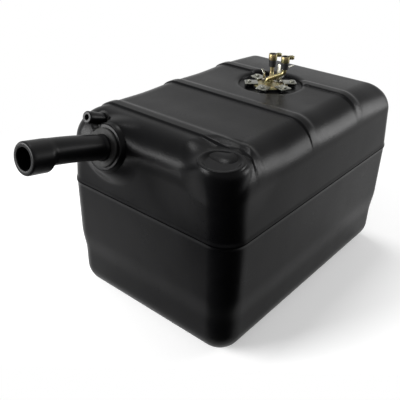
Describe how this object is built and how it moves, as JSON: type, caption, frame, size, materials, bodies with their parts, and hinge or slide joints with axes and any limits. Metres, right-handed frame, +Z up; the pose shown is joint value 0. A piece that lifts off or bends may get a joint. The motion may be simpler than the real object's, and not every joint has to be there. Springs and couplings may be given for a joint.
{
  "type": "car fuel tank",
  "caption": "Moulded plastic car fuel tank with ribbed top, side filler pipe, vent stub and a clamped fuel level sender with a swinging float inside.",
  "frame": {"origin": "centre of the tank's flat bottom, on the surface it stands on", "axes": "+X along the length, away from the filler pipe's end; +Y towards the side that the filler pipe is nearer to; +Z up"},
  "size_m": [0.6172, 0.324, 0.3647],
  "materials": {
    "moulded_polyethylene": "satin moulded skin",
    "filler_nylon": "satin",
    "grommet_rubber": "matte",
    "hose_rubber": "matte",
    "yellow_zinc": "yellow passivated zinc plate",
    "bright_zinc": "bright zinc plate",
    "brass": "machined",
    "tinned_brass": "tinned",
    "sender_plastic": "moulded",
    "strainer_nylon": "moulded",
    "float_foam": "closed-cell foam"
  },
  "bodies": {
    "tank": {"tank_shell": "moulded_polyethylene", "filler_grommet": "grommet_rubber", "filler_pipe": "filler_nylon", "vent_grommet": "grommet_rubber", "vent_spigot": "moulded_polyethylene", "sender_gasket": "grommet_rubber", "sender_flange": "yellow_zinc", "clamp_plate_1": "bright_zinc", "clamp_plate_2": "bright_zinc", "clamp_plate_3": "bright_zinc", "clamp_plate_4": "bright_zinc", "clamp_plate_5": "bright_zinc", "clamp_plate_6": "bright_zinc", "spring_washers": "bright_zinc", "clamp_screws": "bright_zinc", "threaded_inserts": "brass", "feed_pipe": "yellow_zinc", "return_pipe": "yellow_zinc", "pickup_strainer": "strainer_nylon", "feed_hose_stub": "hose_rubber", "return_hose_stub": "hose_rubber", "feed_hose_clip": "yellow_zinc", "return_hose_clip": "yellow_zinc", "clip_screws": "bright_zinc", "terminal_insulators": "sender_plastic", "signal_blade": "tinned_brass", "warning_blade": "tinned_brass", "earth_tab": "yellow_zinc", "earth_rivet": "bright_zinc", "sender_stem": "bright_zinc", "rheostat_case": "sender_plastic", "resistor_card": "sender_plastic", "pivot_pin": "bright_zinc", "signal_lead": "sender_plastic"},
    "float": {"float_arm": "bright_zinc", "wiper_arm": "brass", "level_float": "float_foam", "float_retainer": "bright_zinc"}
  },
  "joints": [
    {"name": "float_swing", "type": "hinge", "parent": "tank", "child": "float", "pos_m": [0.07, -0.017, 0.1648], "axis": [0, 1, 0], "range_deg": [0, 118]}
  ]
}
